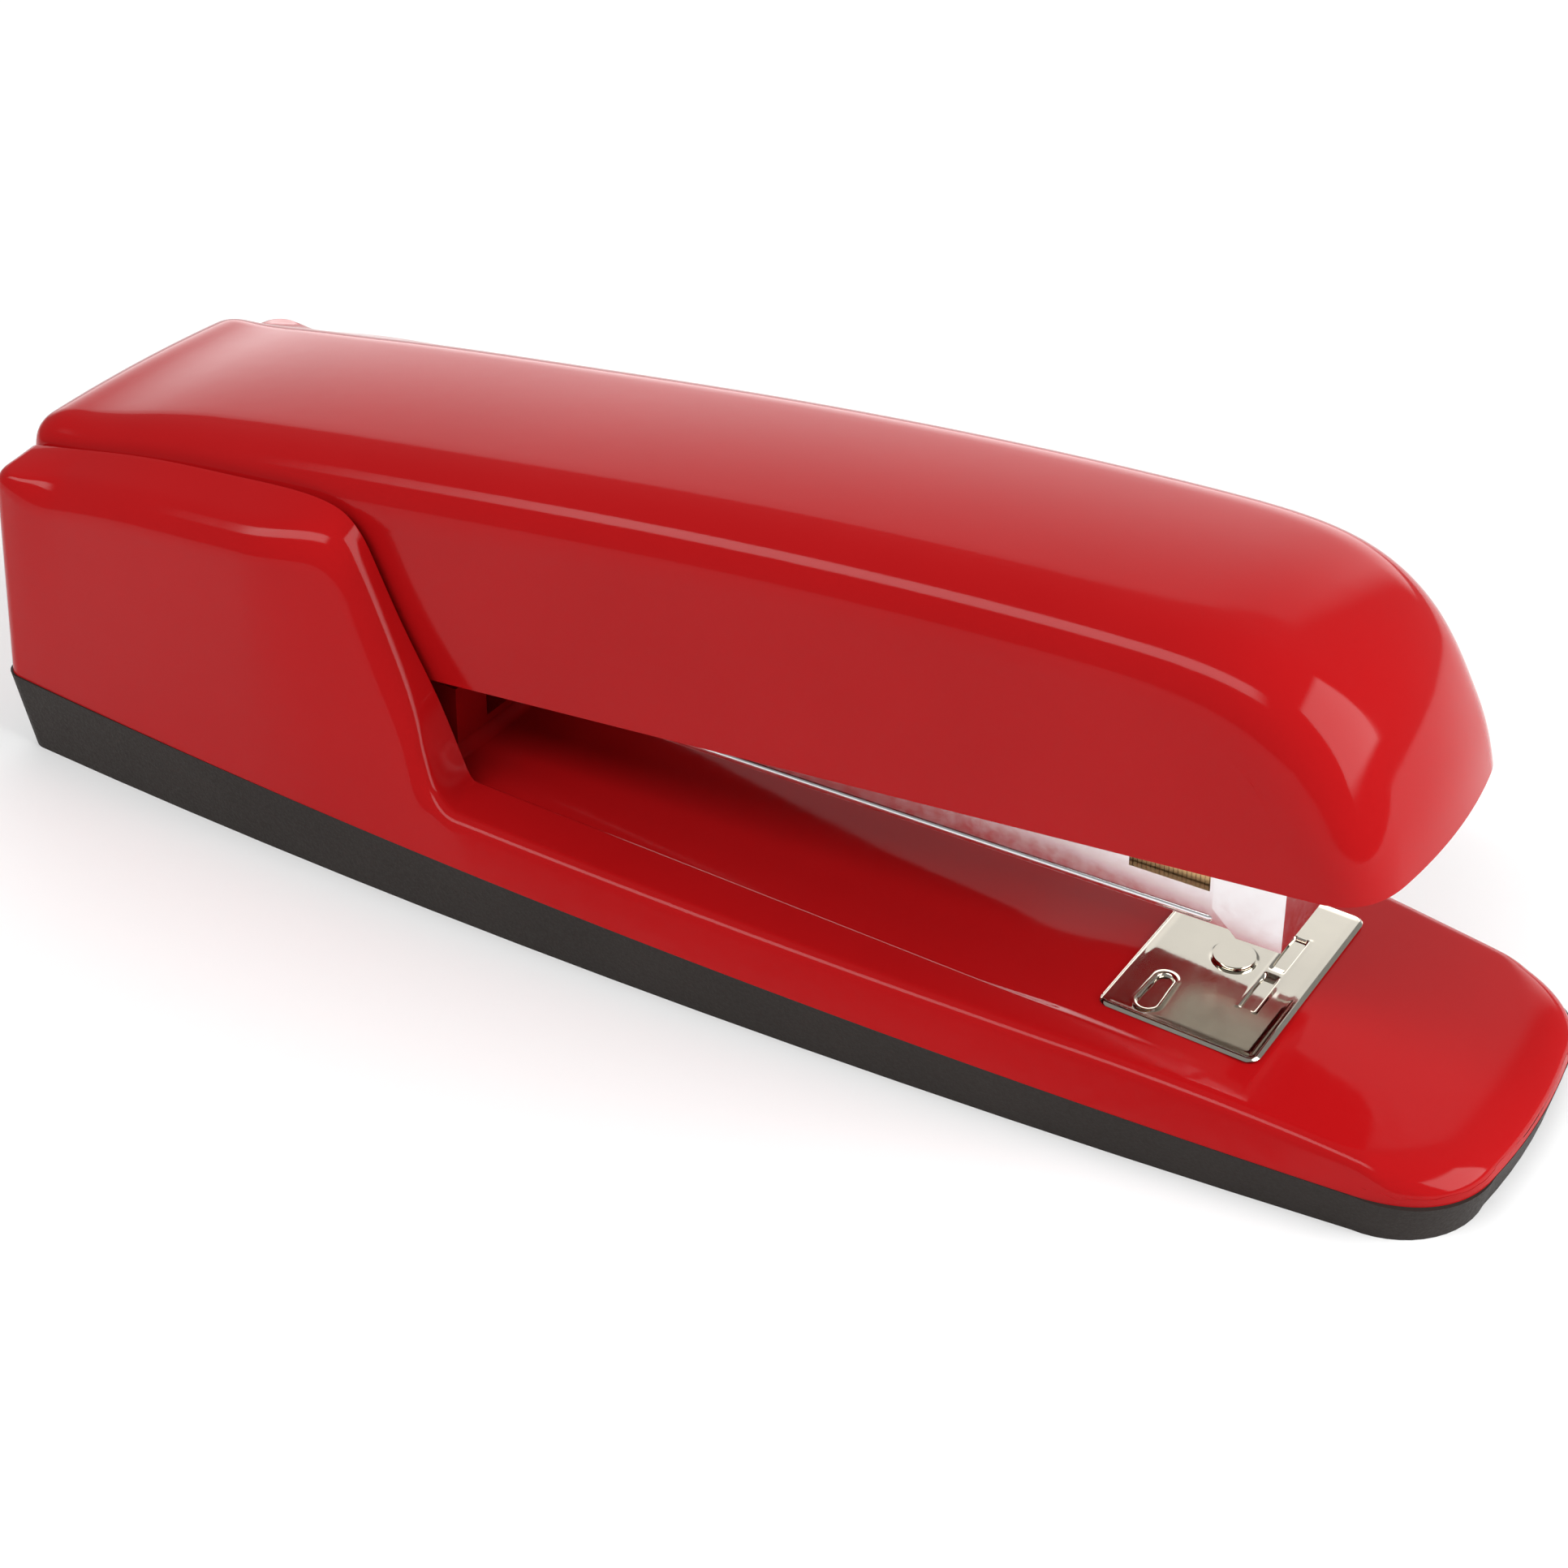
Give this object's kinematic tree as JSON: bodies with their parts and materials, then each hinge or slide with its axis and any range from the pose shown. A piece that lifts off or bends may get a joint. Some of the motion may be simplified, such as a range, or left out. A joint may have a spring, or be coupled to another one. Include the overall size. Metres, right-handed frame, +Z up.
{
  "type": "desk stapler",
  "caption": "Full-strip desk stapler: pressed steel handle hinged between two raised cheeks, staple magazine beneath it, turning anvil set in a long base.",
  "frame": {"origin": "middle of the footprint on the surface the stapler stands on", "axes": "+X along the stapler to its nose, +Z up, -Y is the stapler's right side seen from behind it"},
  "size_m": [0.1846, 0.0554, 0.0572],
  "materials": {
    "red_enamel": "gloss enamel",
    "black_rubber": "matte",
    "nickel": "bright nickel plate",
    "plated_steel": "zinc plate",
    "spring_steel": "oiled",
    "staple_wire": "lacquered wire",
    "black_button": "fine grain"
  },
  "bodies": {
    "base": {"base_pad": "black_rubber", "base_shell": "red_enamel", "hinge_bracket_right": "plated_steel", "hinge_bracket_left": "plated_steel", "magazine_guide": "red_enamel", "bracket_rivets": "plated_steel", "guide_rivets": "plated_steel", "hinge_pin": "plated_steel", "pin_washer_left": "spring_steel", "pin_washer_right": "spring_steel", "lift_spring": "spring_steel"},
    "magazine": {"magazine_channel": "plated_steel", "magazine_head": "nickel", "staple_rail": "plated_steel", "staple_strip": "staple_wire", "spring_rod": "plated_steel", "rod_anchor": "plated_steel", "pusher_spring": "spring_steel"},
    "pusher": {"pusher": "plated_steel"},
    "cover": {"cover_shell": "red_enamel", "cover_frame": "plated_steel", "driver_blade": "spring_steel", "driver_rivets": "plated_steel", "return_spring": "spring_steel", "frame_posts": "plated_steel"},
    "anvil_carrier": {"anvil_button": "black_button", "anvil_washer": "plated_steel", "anvil_spring": "spring_steel"},
    "anvil": {"anvil_plate": "nickel", "anvil_stud": "nickel"}
  },
  "joints": [
    {"name": "magazine_hinge", "type": "hinge", "parent": "base", "child": "magazine", "pos_m": [-0.078, 0, 0.028], "axis": [0, -1, 0], "range_deg": [-3, 60], "stiffness_Nm_per_rad": 1.6, "springref_deg": 4.87, "deforming": ["lift_spring"]},
    {"name": "cover_hinge", "type": "hinge", "parent": "magazine", "child": "cover", "pos_m": [-0.078, 0, 0.028], "axis": [0, -1, 0], "range_deg": [-4.8, 90], "stiffness_Nm_per_rad": 1.2, "springref_deg": 4.58, "deforming": ["return_spring"]},
    {"name": "pusher_slide", "type": "slide", "parent": "magazine", "child": "pusher", "axis": [0.9998, 0, 0.0183], "range_m": [-0.036, 0], "stiffness_N_per_m": 40, "springref_m": 0.03, "deforming": ["pusher_spring"]},
    {"name": "anvil_lift", "type": "slide", "parent": "base", "child": "anvil_carrier", "axis": [0.0306, 0, 0.9995], "range_m": [0, 0.001], "stiffness_N_per_m": 600, "springref_m": -0.002, "deforming": ["anvil_spring"]},
    {"name": "anvil_turn", "type": "hinge", "parent": "anvil_carrier", "child": "anvil", "pos_m": [0.05797, 0, 0.0052], "axis": [0.0306, 0, 0.9995], "range_deg": [0, 180]}
  ]
}
